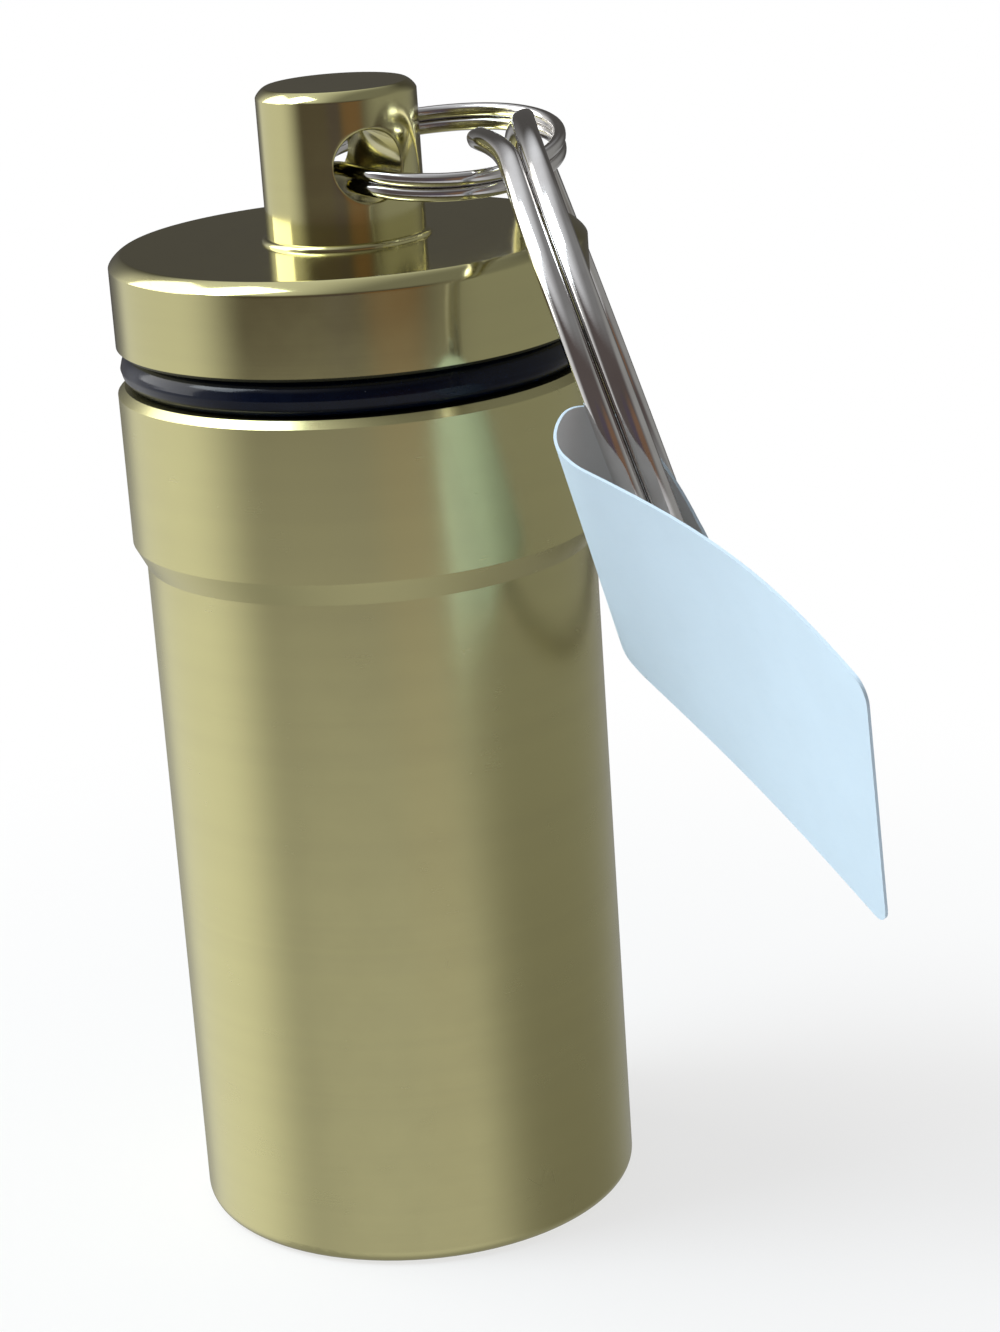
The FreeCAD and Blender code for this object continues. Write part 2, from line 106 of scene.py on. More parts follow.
def columns(x, y, z):
    """Turn that takes the three axes to these directions."""
    return Matrix((x, y, z)).transposed().to_4x4()


def on_ring(radius, degrees):
    a = math.radians(degrees)
    return Vector((radius * math.cos(a), radius * math.sin(a), 0))


# Places of the hanging pieces, the same chain as in the part's source
link_radius = (LINK_DIA - LINK_WIRE) / 2
link_turn = turn("Y", -LINK_RISE) @ turn("X", LINK_ROLL)
link_wire_at = Vector((-EYE_BACK, -EYE_FRONT, EYE_LEVEL - EYE_DROP))
link_middle = link_wire_at + link_turn @ on_ring(link_radius, 0)
link_place = Matrix.Translation(link_middle) @ link_turn
key_radius = (KEY_DIA - KEY_WIRE) / 2
hook = link_middle + link_turn @ on_ring(link_radius, -HOOK)
upright = columns((0, 0, 1), (0, -1, 0), (1, 0, 0))
key_turn = turn("Z", KEY_FACE) @ turn("Y", -KEY_LEAN) @ upright
hook_radius = key_radius - KEY_WIRE / 2 - HOOK_CLEAR - LINK_WIRE - TURN_GAP / 2
key_middle = hook - key_turn @ on_ring(hook_radius, 0)
key_place = Matrix.Translation(key_middle) @ key_turn
wire_place = Matrix.Translation((key_radius, 0, 0)) @ columns((1, 0, 0), (0, 0, -1), (0, 1, 0))
tag_turn = turn("Z", TAG_SWING - 90) @ turn("Y", TAG_TURN) @ turn("X", TAG_ROLL)
tag_shift = tag_turn @ Vector((-FOLD_R - TAG_SET, FOLD_R, 0))
tag_place = key_place @ turn("Z", TAG_PLACE) @ wire_place @ Matrix.Translation(tag_shift) @ tag_turn


# Mesh helpers
def moved(points, place):
    m = np.array(place)
    return points @ m[:3, :3].T + m[:3, 3]


def new_object(name, points, faces):
    """A smooth mesh object from points in millimetres, with its faces turned outward."""
    mesh = bpy.data.meshes.new(name)
    mesh.from_pydata((np.asarray(points) * MM).tolist(), [], [tuple(int(i) for i in f) for f in faces])
    mesh.validate()
    shell = bmesh.new()
    shell.from_mesh(mesh)
    bmesh.ops.recalc_face_normals(shell, faces=shell.faces)
    shell.to_mesh(mesh)
    shell.free()
    mesh.shade_smooth()
    obj = bpy.data.objects.new(name, mesh)
    scene.collection.objects.link(obj)
    return obj


def grid_faces(rows, cols, close_rows, close_cols):
    faces = []
    for i in range(rows if close_rows else rows - 1):
        for j in range(cols if close_cols else cols - 1):
            a, b = i * cols + j, i * cols + (j + 1) % cols
            n = (i + 1) % rows * cols
            faces.append((a, b, n + (j + 1) % cols, n + j))
    return faces


def swept(name, grid, place=None):
    """A closed tube from rows of section points, with flat ends."""
    rows, cols, _ = grid.shape
    faces = grid_faces(rows, cols, False, True)
    points = grid.reshape(-1, 3)
    faces.append(tuple(reversed(range(cols))))
    faces.append(tuple((rows - 1) * cols + j for j in range(cols)))
    if place is not None:
        points = moved(points, place)
    return new_object(name, points, faces)


def oval(count, across, along, power):
    """Rounded section of a drawn wire."""
    a = np.linspace(0, 2 * np.pi, count, endpoint=False)
    c, s = np.cos(a), np.sin(a)
    return across * np.sign(c) * np.abs(c) ** (2 / power), along * np.sign(s) * np.abs(s) ** (2 / power)


def smooth_step(t):
    t = np.clip(t, 0, 1)
    return t * t * (3 - 2 * t)


def split_ring(name, radius, across, along, cross, place, flare=0.0, saddle=0.0):
    """One wire in two touching turns, with a crossing and rounded ends, the last a little sprung."""
    span = math.radians(CROSS_SPAN)
    sprung = math.radians(SPRUNG_SPAN)
    total = 4 * np.pi - span
    rounding = along / radius
    steps = np.linspace(rounding, total - rounding, 420)
    nose = np.array([0.0, 0.04, 0.14, 0.3, 0.5, 0.72]) * rounding
    u = np.concatenate([nose, steps, (total - nose)[::-1]])
    full = 2 * np.pi - span
    height = TURN_LIFT * along * (1 - 2 * smooth_step((u - full) / span))
    height -= flare * smooth_step((u - total) / sprung + 1)
    near_end = np.minimum(u, total - u) / rounding
    fat = 0.5 + 0.5 * np.sqrt(np.clip(1 - (1 - np.clip(near_end, 0, 1)) ** 2, 0, 1))
    s, t = oval(24, across, along, WIRE_POWER)
    angle = math.radians(cross) - span / 2 - u
    height -= saddle * np.sin(angle) ** 2
    r = radius + fat[:, None] * s[None, ::-1]
    z = height[:, None] + fat[:, None] * t[None, ::-1]
    grid = np.stack([r * np.cos(angle)[:, None], r * np.sin(angle)[:, None], z], axis=2)
    return swept(name, grid, place)


def thread_ridge(name, root, crest, low, high, phase):
    """One helical ridge of a screw thread, running out at both ends."""
    turns = (high - low) / THREAD_PITCH
    u = np.linspace(0, turns * 2 * np.pi, int(turns * 90))
    fade = smooth_step(u / THREAD_FADE) * smooth_step((u[-1] - u) / THREAD_FADE)
    z = low + u / (2 * np.pi) * THREAD_PITCH
    angle = u + phase
    way = math.copysign(1, crest - root)
    # section from one flank's foot over the crest to the other, its two feet sunk into the wall
    depth = np.array([0, 0, 0.75, 1, 1, 0.75, 0, 0])
    lift = np.array([-0.46, -0.45, -0.225, -0.14, 0.14, 0.225, 0.45, 0.46])
    r = root + (crest - root) * depth[None, :] * fade[:, None]
    r[:, [0, -1]] = root - THREAD_SUNK * way
    zz = z[:, None] + lift[None, :] * (0.35 + 0.65 * fade[:, None])
    grid = np.stack([r * np.cos(angle)[:, None], r * np.sin(angle)[:, None], zz], axis=2)
    if way < 0:
        grid = grid[:, ::-1]
    return swept(name, grid)


# Node helpers for the materials and the world
class Nodes:
    """Short ways to add and join the nodes of one shader tree."""

    def __init__(self, tree):
        self.tree = tree

    def add(self, kind, **props):
        node = self.tree.nodes.new(kind)
        for key, value in props.items():
            setattr(node, key, value)
        return node

    def link(self, a, b):
        self.tree.links.new(a, b)

    def put(self, socket, value):
        if hasattr(value, "links"):
            self.link(value, socket)
        else:
            socket.default_value = value

    def math(self, operation, a, b=0.0):
        node = self.add("ShaderNodeMath", operation=operation)
        self.put(node.inputs[0], a)
        self.put(node.inputs[1], b)
        return node.outputs[0]

    def ramp(self, value, low, high, out_low=0.0, out_high=1.0):
        node = self.add("ShaderNodeMapRange", interpolation_type="SMOOTHSTEP")
        self.put(node.inputs["Value"], value)
        node.inputs["From Min"].default_value = low
        node.inputs["From Max"].default_value = high
        node.inputs["To Min"].default_value = out_low
        node.inputs["To Max"].default_value = out_high
        return node.outputs[0]

    def noise(self, vector, scale, detail=3.0, rough=0.5):
        node = self.add("ShaderNodeTexNoise")
        self.link(vector, node.inputs["Vector"])
        node.inputs["Scale"].default_value = scale
        node.inputs["Detail"].default_value = detail
        node.inputs["Roughness"].default_value = rough
        return node.outputs["Fac"]

    def cells(self, vector, scale, feature="F1"):
        node = self.add("ShaderNodeTexVoronoi", feature=feature)
        self.link(vector, node.inputs["Vector"])
        node.inputs["Scale"].default_value = scale
        return node.outputs["Distance"]

    def mix(self, factor, a, b):
        node = self.add("ShaderNodeMix", data_type="RGBA")
        self.put(node.inputs["Factor"], factor)
        self.put(node.inputs["A"], a)
        self.put(node.inputs["B"], b)
        return node.outputs["Result"]

    def vector(self, x, y, z):
        node = self.add("ShaderNodeCombineXYZ")
        for socket, value in zip(node.inputs, (x, y, z)):
            self.put(socket, value)
        return node.outputs[0]

    def place(self):
        """Object coordinates in millimetres: the vector and its three numbers."""
        coords = self.add("ShaderNodeTexCoord")
        scale = self.add("ShaderNodeVectorMath", operation="SCALE")
        self.link(coords.outputs["Object"], scale.inputs[0])
        scale.inputs["Scale"].default_value = 1000.0
        split = self.add("ShaderNodeSeparateXYZ")
        self.link(scale.outputs[0], split.inputs[0])
        return scale.outputs[0], split.outputs[0], split.outputs[1], split.outputs[2]

    def bump(self, height, strength, distance, before=None):
        node = self.add("ShaderNodeBump")
        self.link(height, node.inputs["Height"])
        node.inputs["Strength"].default_value = strength
        node.inputs["Distance"].default_value = distance
        if before is not None:
            self.link(before, node.inputs["Normal"])
        return node.outputs[0]


def new_material(name):
    mat = bpy.data.materials.new(name)
    mat.use_nodes = True
    return mat, Nodes(mat.node_tree), mat.node_tree.nodes["Principled BSDF"]


def turned_gold(name, polish, streak):
    """Gold-anodised turned aluminium: fine lathe lines, a faint haze and a few hair scratches."""
    mat, n, bsdf = new_material(name)
    where, x, y, z = n.place()
    radius = n.math("SQRT", n.math("ADD", n.math("MULTIPLY", x, x), n.math("MULTIPLY", y, y)))
    lathe_at = n.vector(radius, 0.0, z)
    fine = n.noise(lathe_at, 9.0, 4.0, 0.7)
    broad = n.noise(lathe_at, 1.1, 2.0)
    haze = n.noise(where, 0.5, 5.0, 0.6)
    scratch_at = n.add("ShaderNodeMapping")
    n.link(where, scratch_at.inputs["Vector"])
    scratch_at.inputs["Rotation"].default_value = (0.5, 0.9, 0.3)
    scratch_at.inputs["Scale"].default_value = (1.0, 0.2, 0.6)
    hair = n.ramp(n.cells(scratch_at.outputs[0], 0.8, "DISTANCE_TO_EDGE"), 0.0, 0.012, 1.0, 0.0)
    hair = n.math("MULTIPLY", hair, n.ramp(n.noise(where, 0.3, 2.0), 0.70, 0.74))
    light, dim, scratched = (0.60, 0.565, 0.285, 1), (0.585, 0.55, 0.28, 1), (0.30, 0.27, 0.15, 1)
    shade = n.mix(n.ramp(broad, 0.35, 0.7), light, dim)
    n.link(n.mix(n.math("MULTIPLY", hair, 0.3), shade, scratched), bsdf.inputs["Base Color"])
    hazy = n.ramp(haze, 0.3, 0.75, polish, polish + 0.03)
    rough = n.math("ADD", hazy, n.ramp(fine, 0.35, 0.7, 0.0, 0.01))
    n.link(n.math("ADD", rough, n.math("MULTIPLY", hair, 0.1)), bsdf.inputs["Roughness"])
    bsdf.inputs["Metallic"].default_value = 1.0
    bsdf.inputs["Anisotropic"].default_value = streak
    bsdf.inputs["Anisotropic Rotation"].default_value = 0.25
    tangent = n.add("ShaderNodeTangent", direction_type="RADIAL", axis="Z")
    n.link(tangent.outputs[0], bsdf.inputs["Tangent"])
    lines = n.bump(fine, 0.008, 0.00002)
    n.link(n.bump(n.math("MULTIPLY", hair, -1.0), 0.04, 0.00002, lines), bsdf.inputs["Normal"])
    return mat


def plated_wire(name):
    """Nickel-plated spring wire: bright, with faint stains and duller patches."""
    mat, n, bsdf = new_material(name)
    where = n.place()[0]
    drawn = n.noise(where, 2.2, 5.0, 0.7)
    patch = n.noise(where, 0.55, 3.0)
    grain = n.noise(where, 14.0, 3.0)
    bright, dull, stain = (0.72, 0.71, 0.70, 1), (0.64, 0.62, 0.61, 1), (0.46, 0.41, 0.39, 1)
    shade = n.mix(n.ramp(patch, 0.35, 0.7), bright, dull)
    n.link(n.mix(n.ramp(drawn, 0.64, 0.8, 0.0, 0.35), shade, stain), bsdf.inputs["Base Color"])
    rough = n.math("ADD", n.ramp(patch, 0.3, 0.7, 0.06, 0.14), n.ramp(grain, 0.5, 0.8, 0.0, 0.06))
    n.link(rough, bsdf.inputs["Roughness"])
    bsdf.inputs["Metallic"].default_value = 1.0
    n.link(n.bump(grain, 0.05, 0.00002), bsdf.inputs["Normal"])
    return mat


def black_rubber(name):
    """Glossy blue-black rubber with a few fine specks of dust."""
    mat, n, bsdf = new_material(name)
    where = n.place()[0]
    mottle = n.noise(where, 1.6, 4.0, 0.6)
    specks = n.ramp(n.cells(where, 1.9), 0.03, 0.07, 1.0, 0.0)
    specks = n.math("MULTIPLY", specks, n.ramp(n.noise(where, 0.8, 2.0), 0.52, 0.62))
    black, blue_black, dust = (0.001, 0.003, 0.012, 1), (0.002, 0.005, 0.016, 1), (0.10, 0.12, 0.15, 1)
    base = n.mix(n.ramp(mottle, 0.3, 0.7), black, blue_black)
    n.link(n.mix(n.math("MULTIPLY", specks, 0.5), base, dust), bsdf.inputs["Base Color"])
    rough = n.math("ADD", n.ramp(mottle, 0.3, 0.75, 0.10, 0.17), n.math("MULTIPLY", specks, 0.4))
    n.link(rough, bsdf.inputs["Roughness"])
    bsdf.inputs["Specular IOR Level"].default_value = 0.22
    n.link(n.bump(n.noise(where, 6.0, 3.0), 0.06, 0.00003), bsdf.inputs["Normal"])
    return mat


def label_paper(name, tone, rough):
    """Paper of one tone, faintly clouded, with a fine fibre."""
    mat, n, bsdf = new_material(name)
    where = n.place()[0]
    fibre_at = n.add("ShaderNodeMapping")
    n.link(where, fibre_at.inputs["Vector"])
    fibre_at.inputs["Rotation"].default_value = (0.4, 0.2, 0.7)
    fibre_at.inputs["Scale"].default_value = (1.0, 0.25, 0.6)
    fibre = n.noise(fibre_at.outputs[0], 5.0, 5.0, 0.7)
    cloud = n.noise(where, 0.25, 3.0)
    dim, light, thread = [tuple(c * level for c in tone) + (1,) for level in (0.97, 1.0, 0.91)]
    shade = n.mix(n.ramp(cloud, 0.3, 0.7), dim, light)
    n.link(n.mix(n.ramp(fibre, 0.55, 0.8, 0.0, 0.25), shade, thread), bsdf.inputs["Base Color"])
    n.link(n.ramp(fibre, 0.3, 0.7, rough, rough + 0.2), bsdf.inputs["Roughness"])
    n.link(n.bump(fibre, 0.12, 0.00003), bsdf.inputs["Normal"])
    return mat


def dress(obj, material):
    obj.data.materials.clear()
    obj.data.materials.append(material)


# The vial keeps its solid and gets the turned finish
dress(nodes["vial"], turned_gold("vial_gold", 0.24, 0.5))


# Cap: a turned piece with the eye drilled through its post
def soft_bevel(across, down):
    """Points of a softened bevel, as distances in from the side and down from the top."""
    a = np.linspace(0, np.pi / 2, 15)
    return zip(across * (1 - np.cos(a) ** BEVEL_POWER), down * (1 - np.sin(a) ** BEVEL_POWER))


def cap_profile():
    """Turned outline as radius and height, from the spigot's end up, and the first row of the eye's frame."""
    line = [(SPIGOT_R - SPIGOT_BEVEL, SPIGOT_END), (SPIGOT_R, SPIGOT_END + SPIGOT_BEVEL)]
    line += [(SPIGOT_R, FLANGE_BASE), (FLANGE_R - FLANGE_BEVEL, FLANGE_BASE)]
    line += [(FLANGE_R, FLANGE_BASE + FLANGE_BEVEL), (FLANGE_R, FLANGE_TOP - FLANGE_EDGE[1] - SUPPORT)]
    line += [(FLANGE_R - i, FLANGE_TOP - d) for i, d in soft_bevel(*FLANGE_EDGE)]
    line.append((FLANGE_R - FLANGE_EDGE[0] - SUPPORT, FLANGE_TOP))
    line.append((POST_R + BEAD_WIDTH + SUPPORT, FLANGE_TOP))
    line += [(POST_R + BEAD_WIDTH * math.cos(a), FLANGE_TOP + BEAD_HEIGHT * math.sin(a))
             for a in np.linspace(0, math.pi / 2, 9)]
    line.append((POST_R, FLANGE_TOP + BEAD_HEIGHT + SUPPORT))
    first = len(line)
    line += [(POST_R, EYE_LEVEL + v) for v in np.linspace(-EYE_FRAME, EYE_FRAME, FRAME_STEPS + 1)]
    line.append((POST_R, POST_TOP - POST_EDGE[1] - SUPPORT))
    line += [(POST_R - i, POST_TOP - d) for i, d in soft_bevel(*POST_EDGE)]
    line.append((POST_R - POST_EDGE[0] - SUPPORT, POST_TOP))
    return np.array(line), first


def turned_cap():
    """A turned surface; a square frame of cells at each end of the eye opens into a round hole."""
    line, first = cap_profile()
    half = EYE_FRAME / POST_R
    frame_angles = np.linspace(-half, half, FRAME_STEPS + 1)[:-1]
    side_angles = np.linspace(half, math.pi - half, SIDE_STEPS + 1)[:-1]
    half_turn = np.concatenate([frame_angles, side_angles])
    angles = np.concatenate([half_turn, math.pi + half_turn]) - math.pi / 2
    rows, cols = len(line), len(angles)
    turned = np.stack([line[:, :1] * np.cos(angles), line[:, :1] * np.sin(angles),
                       np.repeat(line[:, 1:], cols, 1)], axis=2).reshape(-1, 3)
    back = FRAME_STEPS + SIDE_STEPS
    faces = []
    for face in grid_faces(rows, cols, False, True):
        row, col = divmod(face[0], cols)
        framed = first <= row < first + FRAME_STEPS and col % back < FRAME_STEPS
        if not framed:
            faces.append(face)
    faces.append(tuple(reversed(range(cols))))
    faces.append(tuple((rows - 1) * cols + j for j in range(cols)))
    # the frame's outline in front, and the same outline mirrored behind
    n = FRAME_STEPS
    outline = [(0, i) for i in range(n)] + [(i, n) for i in range(n)]
    outline += [(n, n - i) for i in range(n)] + [(n - i, 0) for i in range(n)]
    front_loop = [(first + r) * cols + c for r, c in outline]
    back_loop = [(first + r) * cols + back + n - c for r, c in outline]
    # places on the unrolled post, along its girth and up, and the hole's mouth at the same bearings
    u = np.array([EYE_FRAME * (2 * c / n - 1) for r, c in outline])
    v = np.array([EYE_FRAME * (2 * r / n - 1) for r, c in outline])
    phi = np.arctan2(v, u)
    mouth = EYE_R + EYE_EDGE
    hole_u, hole_v = POST_R * np.arcsin(mouth * np.cos(phi) / POST_R), mouth * np.sin(phi)
    loops = []
    for f in np.linspace(0, 1, RING_STEPS)[1:]:
        on = ((1 - f) * u + f * hole_u) / POST_R
        loops.append((POST_R * np.sin(on), POST_R * np.cos(on), (1 - f) * v + f * hole_v))
    for a in np.linspace(0, math.pi / 2, 7)[1:]:
        r = EYE_R + EYE_EDGE * (1 - math.sin(a))
        x = r * np.cos(phi)
        depth = EYE_EDGE * (1 - math.cos(a))
        loops.append((x, np.sqrt(POST_R ** 2 - x ** 2) - depth, r * np.sin(phi)))
    loops.append((x, loops[-1][1] - SUPPORT, loops[-1][2]))
    front_points = [np.stack([x, -y, EYE_LEVEL + z], axis=1) for x, y, z in loops]
    back_points = [np.stack([x, y, EYE_LEVEL + z], axis=1) for x, y, z in reversed(loops)]
    points = np.concatenate([turned] + front_points + back_points)
    count = len(outline)
    added = [[len(turned) + k * count + i for i in range(count)] for k in range(2 * len(loops))]
    chain = [front_loop] + added + [back_loop]
    for near, far in zip(chain, chain[1:]):
        faces += [(near[i - 1], near[i], far[i], far[i - 1]) for i in range(count)]
    # the points inside the frames are left out
    used = sorted({i for face in faces for i in face})
    place = {old: new for new, old in enumerate(used)}
    obj = new_object("cap_turned", points[used], [[place[i] for i in face] for face in faces])
    obj.data.set_sharp_from_angle(angle=math.radians(30))
    return obj


cap = turned_cap()
dress(cap, turned_gold("cap_gold", 0.10, 0.3))
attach(cap, "cap")
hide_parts("cap")

# Screw threads, in mesh with each other over the whole turn
thread_low = SPIGOT_END + THREAD_START
spigot_thread = thread_ridge("spigot_thread", SPIGOT_R, SPIGOT_R + THREAD_DEPTH,
                             thread_low, RIM - SPIGOT_STOP, 0.0)
dress(spigot_thread, turned_gold("spigot_gold", 0.18, 0.3))
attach(spigot_thread, "cap")
neck_thread = thread_ridge("neck_thread", NECK_R, NECK_R - THREAD_DEPTH,
                           thread_low, RIM - NECK_STOP, math.pi)
dress(neck_thread, turned_gold("neck_gold", 0.18, 0.3))
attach(neck_thread, "vial")


# Seal: squashed rubber ring with a faint mould line round its outside
def rubber_seal():
    half = SEAL_HEIGHT / 2
    inside = SPIGOT_R + SEAL_CLEAR + half
    outside = FLANGE_R - SEAL_INSET - half
    left = np.linspace(np.pi / 2, 3 * np.pi / 2, 15)
    right = np.linspace(-np.pi / 2, np.pi / 2, 31)
    bead = MOULD_LINE * np.exp(-(right / MOULD_ANGLE) ** 2)
    r = np.concatenate([inside + half * np.cos(left), outside - MOULD_ROOM + (half + bead) * np.cos(right)])
    z = RIM + half + half * np.concatenate([np.sin(left), np.sin(right)])
    a = np.linspace(0, 2 * np.pi, 220, endpoint=False)
    # the outside wanders by a hundredth, as squashed rubber does
    wave = 0.012 * np.sin(5 * a + 0.6) + 0.008 * np.sin(11 * a)
    rr = r[None, :] + wave[:, None] * smooth_step((r - inside) / (outside - inside))[None, :]
    zz = np.repeat(z[None, :], len(a), 0)
    grid = np.stack([rr * np.cos(a)[:, None], rr * np.sin(a)[:, None], zz], axis=2)
    return new_object("seal_ring", grid.reshape(-1, 3), grid_faces(len(a), len(r), True, True))


seal = rubber_seal()
dress(seal, black_rubber("rubber"))
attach(seal, "seal")
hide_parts("o_ring")

# Split rings with touching turns; the link ring sags about its place in the eye
in_eye = link_place @ on_ring(link_radius, 180)
lifted = Matrix.Translation(in_eye + Vector(LINK_SHIFT))
link_hung = lifted @ turn("Y", LINK_SAG) @ Matrix.Translation(-in_eye) @ link_place
link = split_ring("link_wire", LINK_R, LINK_ACROSS, LINK_ALONG, LINK_CROSS, link_hung, saddle=LINK_SADDLE)
dress(link, plated_wire("link_nickel"))
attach(link, "link")
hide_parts("link_ring")
key_hung = key_place @ Matrix.Translation(KEY_SHIFT)
key = split_ring("key_wire", KEY_R, KEY_ACROSS, KEY_ALONG, KEY_CROSS, key_hung, flare=KEY_FLARE)
dress(key, plated_wire("key_nickel"))
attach(key, "key")
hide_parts("key_ring")


# Paper tag: one strip, folded in a loop round the wire, with its leaves lying together
def bezier(a, b, c, d, count):
    t = np.linspace(0, 1, count)[:, None]
    return a * (1 - t) ** 3 + 3 * b * t * (1 - t) ** 2 + 3 * c * t * t * (1 - t) + d * t ** 3


def tag_line():
    """The strip's section: out along the front leaf, round the loop and back along the other leaf."""
    back = LEAF_Y - PAPER - LEAF_GAP
    centre = np.array([FOLD_R, -FOLD_R])
    radius = FOLD_R + LEAF_Y
    tip = np.array([LOOP_LENGTH - TIP_SHORT, back])
    leave = math.radians(LOOP_LEAVE)
    left = centre + radius * np.array([math.cos(leave), math.sin(leave)])
    way = np.array([-math.sin(leave), math.cos(leave)])
    end_x = TAG_LENGTH - CORNER * (1 - np.cos(np.linspace(0, np.pi / 2, 7)))
    run_x = np.concatenate([end_x, np.linspace(end_x[-1], FOLD_R, 36)[1:]])
    run = np.stack([run_x, np.full(len(run_x), LEAF_Y)], axis=1)
    arc_at = np.linspace(math.pi / 2, leave, 40)[1:]
    arc = centre + radius * np.stack([np.cos(arc_at), np.sin(arc_at)], axis=1)
    side = bezier(left, left + LOOP_PULL * way, tip - np.array(TIP_PULL), tip, 40)[1:]
    tail_x = np.linspace(tip[0], TAG_LENGTH - TAIL_SHORT, 14)[1:]
    tail = np.stack([tail_x, np.full(len(tail_x), back)], axis=1)
    return np.concatenate([run, arc, side, tail])


def paper_tag():
    """The folded strip as a thin closed shell, with its length and area when flat."""
    line = tag_line()
    tangent = np.gradient(line, axis=0)
    tangent /= np.linalg.norm(tangent, axis=1)[:, None]
    normal = np.stack([tangent[:, 1], -tangent[:, 0]], axis=1)
    # rounded corners: the half width falls off over the last stretch before the free end
    into = np.clip((line[:, 0] - TAG_LENGTH + CORNER) / CORNER, 0, 1)
    half_width = TAG_WIDTH / 2 - CORNER * (1 - np.sqrt(1 - into ** 2))
    across = np.linspace(-1, 1, 15)
    # the strip narrows from above on its way round the loop, so that the back leaf lies hidden
    along = np.concatenate([[0], np.cumsum(np.linalg.norm(np.diff(line, axis=0), axis=1))])
    narrow = TAIL_DROP * smooth_step((along - TAG_LENGTH) / TAIL_RUN)
    upper = narrow - half_width
    past_fold = along - (TAG_LENGTH - FOLD_R)
    way_in, way_out = [smooth_step((past_fold - start) / run) for start, run in (WAIST_IN, WAIST_OUT)]
    width = half_width - WAIST * (way_in - way_out) - upper
    area = float(((width[1:] + width[:-1]) / 2 * np.diff(along)).sum())
    grid = np.zeros((2, len(line), len(across), 3))
    for layer, offset in enumerate((PAPER / 2, -PAPER / 2)):
        flat = line + offset * normal
        grid[layer, :, :, 0] = flat[:, None, 0]
        grid[layer, :, :, 1] = flat[:, None, 1]
        grid[layer, :, :, 2] = upper[:, None] + width[:, None] * (across[None, :] + 1) / 2
    # the leaf bows away, most along its upper edge, and twists towards its free end
    free = np.clip((grid[..., 0] - BOW_FROM) / (TAG_LENGTH - BOW_FROM), 0, 1)
    edge = grid[..., 2] / (TAG_WIDTH / 2)
    grid[..., 1] += (BOW + BOW_TILT * edge) * np.sin(np.pi * free) + TWIST * free * edge
    rows, cols = len(line), len(across)
    count = rows * cols
    faces = grid_faces(rows, cols, False, False)
    shell = [tuple(reversed(f)) for f in faces] + [tuple(i + count for i in f) for f in faces]
    rim = [i * cols for i in range(rows)] + [(rows - 1) * cols + j for j in range(1, cols)]
    rim += [i * cols + cols - 1 for i in range(rows - 2, -1, -1)] + [j for j in range(cols - 2, 0, -1)]
    for a, b in zip(rim, rim[1:] + rim[:1]):
        shell.append((a, b, b + count, a + count))
    obj = new_object("paper_tag", moved(grid.reshape(-1, 3), tag_place), shell)
    dress(obj, label_paper("paper_face", PAPER_FACE, 0.55))
    obj.data.materials.append(label_paper("paper_back", PAPER_BACK, 0.75))
    for polygon in obj.data.polygons[len(faces):2 * len(faces)]:
        polygon.material_index = 1
    obj.data.set_sharp_from_angle(angle=math.radians(40))
    return obj, float(along[-1]), area


tag, strip_length, strip_area = paper_tag()
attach(tag, "tag")
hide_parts("hang_tag")

# Floor, light and camera
AZIMUTH = math.radians(-21)
to_part = Matrix.Rotation(AZIMUTH, 4, "Z")


def round_floor(radius):
    """A pale round sheet, white to the camera away from the object and its shadow."""
    a = np.linspace(0, 2 * np.pi, 96, endpoint=False)
    mesh = bpy.data.meshes.new("floor")
    rim = [(radius * math.cos(v), radius * math.sin(v), 0) for v in a]
    mesh.from_pydata(rim, [], [tuple(range(len(a)))])
    obj = bpy.data.objects.new("floor", mesh)
    obj.location.z = -0.00002
    scene.collection.objects.link(obj)
    mat, n, bsdf = new_material("floor_white")
    bsdf.inputs["Base Color"].default_value = (0.82, 0.82, 0.82, 1)
    bsdf.inputs["Roughness"].default_value = 0.9
    bsdf.inputs["Specular IOR Level"].default_value = 0.1
    glow = n.add("ShaderNodeEmission")
    glow.inputs["Color"].default_value = (1, 1, 1, 1)
    where, x, y, z = n.place()
    away = n.math("SQRT", n.math("ADD", n.math("MULTIPLY", x, x), n.math("MULTIPLY", y, y)))
    path = n.add("ShaderNodeLightPath")
    blend = n.add("ShaderNodeMixShader")
    whiter = n.ramp(away, 15.0, 700 * radius, 0.7, 1.0)
    n.link(n.math("MULTIPLY", path.outputs["Is Camera Ray"], whiter), blend.inputs[0])
    n.link(bsdf.outputs[0], blend.inputs[1])
    n.link(glow.outputs[0], blend.inputs[2])
    n.link(blend.outputs[0], mat.node_tree.nodes["Material Output"].inputs["Surface"])
    obj.data.materials.append(mat)
    obj.visible_glossy = False
    return obj


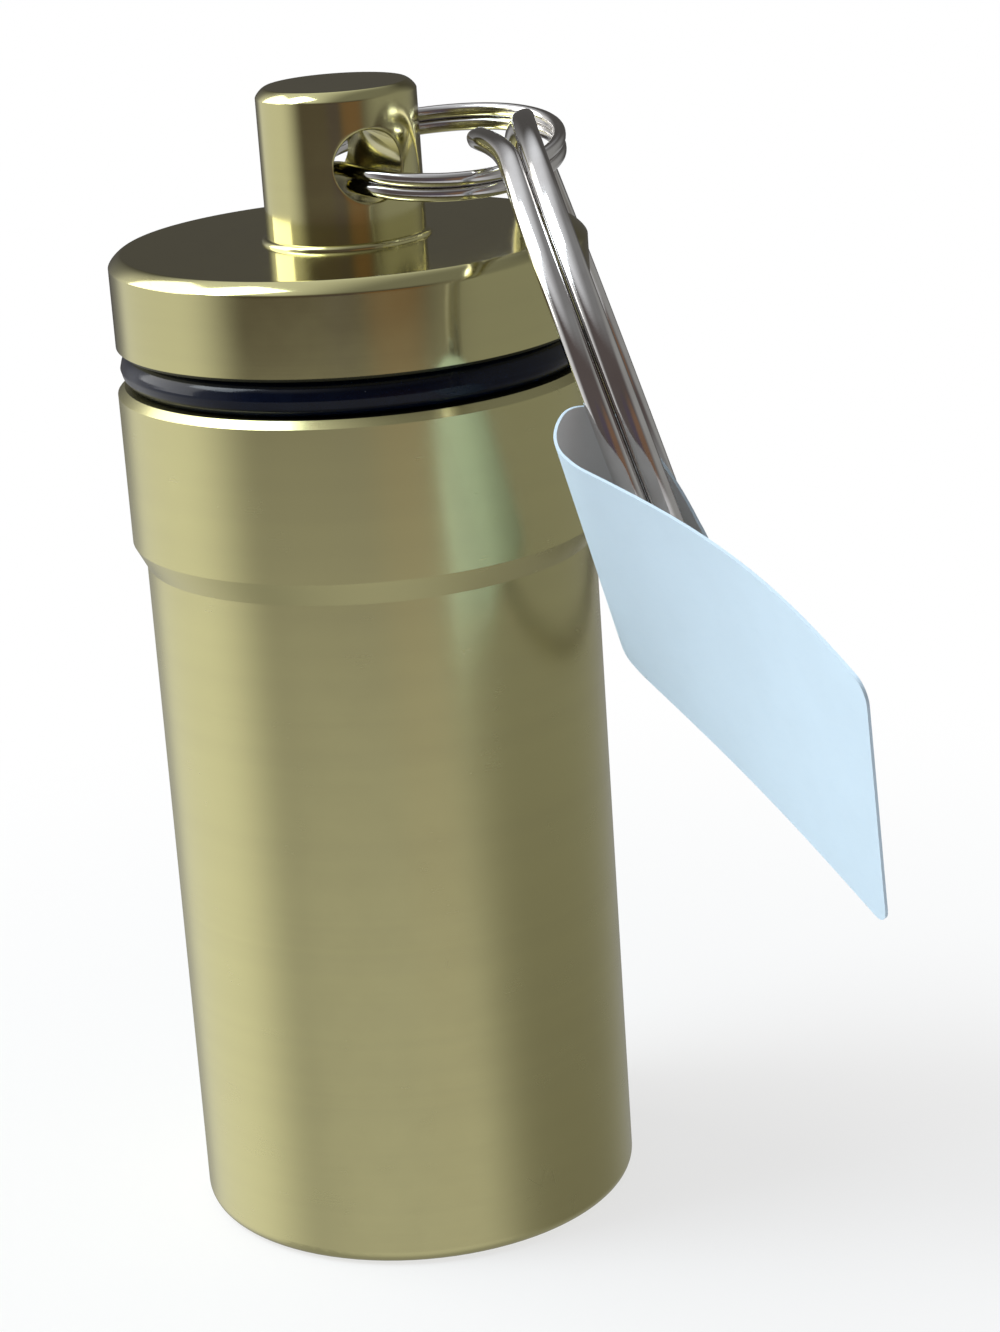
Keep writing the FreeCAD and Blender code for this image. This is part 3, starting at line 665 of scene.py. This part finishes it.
def studio_world():
    """White to the camera and on the window side of reflections, else a pale table and dim walls."""
    world = bpy.data.worlds.new("studio")
    scene.world = world
    world.use_nodes = True
    n = Nodes(world.node_tree)
    room = world.node_tree.nodes["Background"]
    direction = n.add("ShaderNodeTexCoord").outputs["Generated"]

    def towards(x, y):
        node = n.add("ShaderNodeVectorMath", operation="DOT_PRODUCT")
        n.link(direction, node.inputs[0])
        node.inputs[1].default_value = to_part @ Vector((x, y, 0))
        return node.outputs["Value"]

    split = n.add("ShaderNodeSeparateXYZ")
    n.link(direction, split.inputs[0])
    height = split.outputs[2]
    left = towards(-0.93, 0.37)
    window = n.math("MULTIPLY", n.ramp(left, 0.48, 0.94), n.ramp(towards(0, 1), 0.7, 0.9, 1.0, 0.35))
    window = n.math("MULTIPLY", window, n.ramp(height, -0.42, -0.2, 1.0, 0.8))
    right = n.ramp(towards(1, 0), 0.45, 0.9)
    front = n.ramp(towards(0, -1), 0.0, 0.8)
    near = n.mix(n.ramp(height, -0.46, -0.27), (0.69, 0.69, 0.70, 1), (0.57, 0.57, 0.58, 1))
    side = n.mix(n.ramp(height, -0.42, -0.35), (0.23, 0.22, 0.2, 1), (0.33, 0.33, 0.31, 1))
    table = n.mix(right, n.mix(front, (0.36, 0.36, 0.36, 1), near), side)
    wall = n.mix(front, (0.09, 0.085, 0.08, 1), (0.11, 0.09, 0.085, 1))
    wall = n.mix(n.ramp(towards(-0.105, -0.995), 0.965, 0.995), wall, (0.10, 0.08, 0.10, 1))
    wall = n.mix(n.ramp(towards(0.342, -0.94), 0.93, 0.99), wall, (0.21, 0.125, 0.08, 1))
    wall = n.mix(right, wall, (0.34, 0.34, 0.33, 1))
    roof = n.mix(n.ramp(left, -0.3, 0.4), (0.25, 0.25, 0.25, 1), (0.9, 0.92, 0.95, 1))
    shade = n.mix(n.ramp(height, -0.28, -0.19), table, wall)
    n.link(n.mix(n.ramp(height, 0.5, 0.8), shade, roof), room.inputs["Color"])
    white = n.add("ShaderNodeBackground")
    white.inputs["Color"].default_value = (1, 1, 1, 1)
    either = n.add("ShaderNodeMixShader")
    path = n.add("ShaderNodeLightPath")
    mirrored = n.math("MULTIPLY", path.outputs["Is Glossy Ray"], window)
    n.link(n.math("MAXIMUM", path.outputs["Is Camera Ray"], mirrored), either.inputs[0])
    n.link(room.outputs[0], either.inputs[1])
    n.link(white.outputs[0], either.inputs[2])
    n.link(either.outputs[0], world.node_tree.nodes["World Output"].inputs["Surface"])


def softbox(name, at, aim, size, power, colour=(1, 1, 1)):
    """An area lamp placed in the camera's frame: X right, Y away, Z up."""
    lamp = bpy.data.lights.new(name, "AREA")
    lamp.shape = "RECTANGLE"
    lamp.size, lamp.size_y = size
    lamp.energy = power
    lamp.color = colour
    obj = bpy.data.objects.new(name, lamp)
    place = to_part @ Vector(at)
    obj.location = place
    obj.rotation_mode = "QUATERNION"
    obj.rotation_quaternion = ((to_part @ Vector(aim)) - place).to_track_quat("-Z", "Y")
    scene.collection.objects.link(obj)


round_floor(0.1)
studio_world()
softbox("window", (-0.38, 0.12, 0.24), (0, 0, 0.03), (0.36, 0.40), 1.2, (1.0, 1.0, 0.98))
softbox("ceiling", (-0.40, -0.04, 0.5), (0, 0, 0.02), (0.28, 0.45), 2.7, (0.84, 0.94, 1.0))

# Camera fitted to the photo
PITCH, YAW, ROLL, FOCAL_PIXELS = 0.306, 0.037, -0.069, 3340.4
CAMERA_AT, SENSOR, PHOTO_HEIGHT = (0, -0.136771, 0.066432), 36.0, 1332
ahead = Vector((math.sin(YAW) * math.cos(PITCH), math.cos(YAW) * math.cos(PITCH), -math.sin(PITCH)))
level_right = Vector((math.cos(YAW), -math.sin(YAW), 0))
level_up = level_right.cross(ahead)
right = math.cos(ROLL) * level_right + math.sin(ROLL) * level_up
up = math.cos(ROLL) * level_up - math.sin(ROLL) * level_right
camera = bpy.data.cameras.new("camera")
camera.sensor_width = SENSOR
camera.lens = FOCAL_PIXELS * SENSOR / PHOTO_HEIGHT
camera.clip_start, camera.clip_end = 0.005, 20
camera.dof.use_dof = False
eye = bpy.data.objects.new("camera", camera)
eye.matrix_world = to_part @ Matrix.Translation(CAMERA_AT) @ columns(right, up, -ahead)
scene.collection.objects.link(eye)
scene.camera = eye
scene.view_settings.view_transform = "Standard"
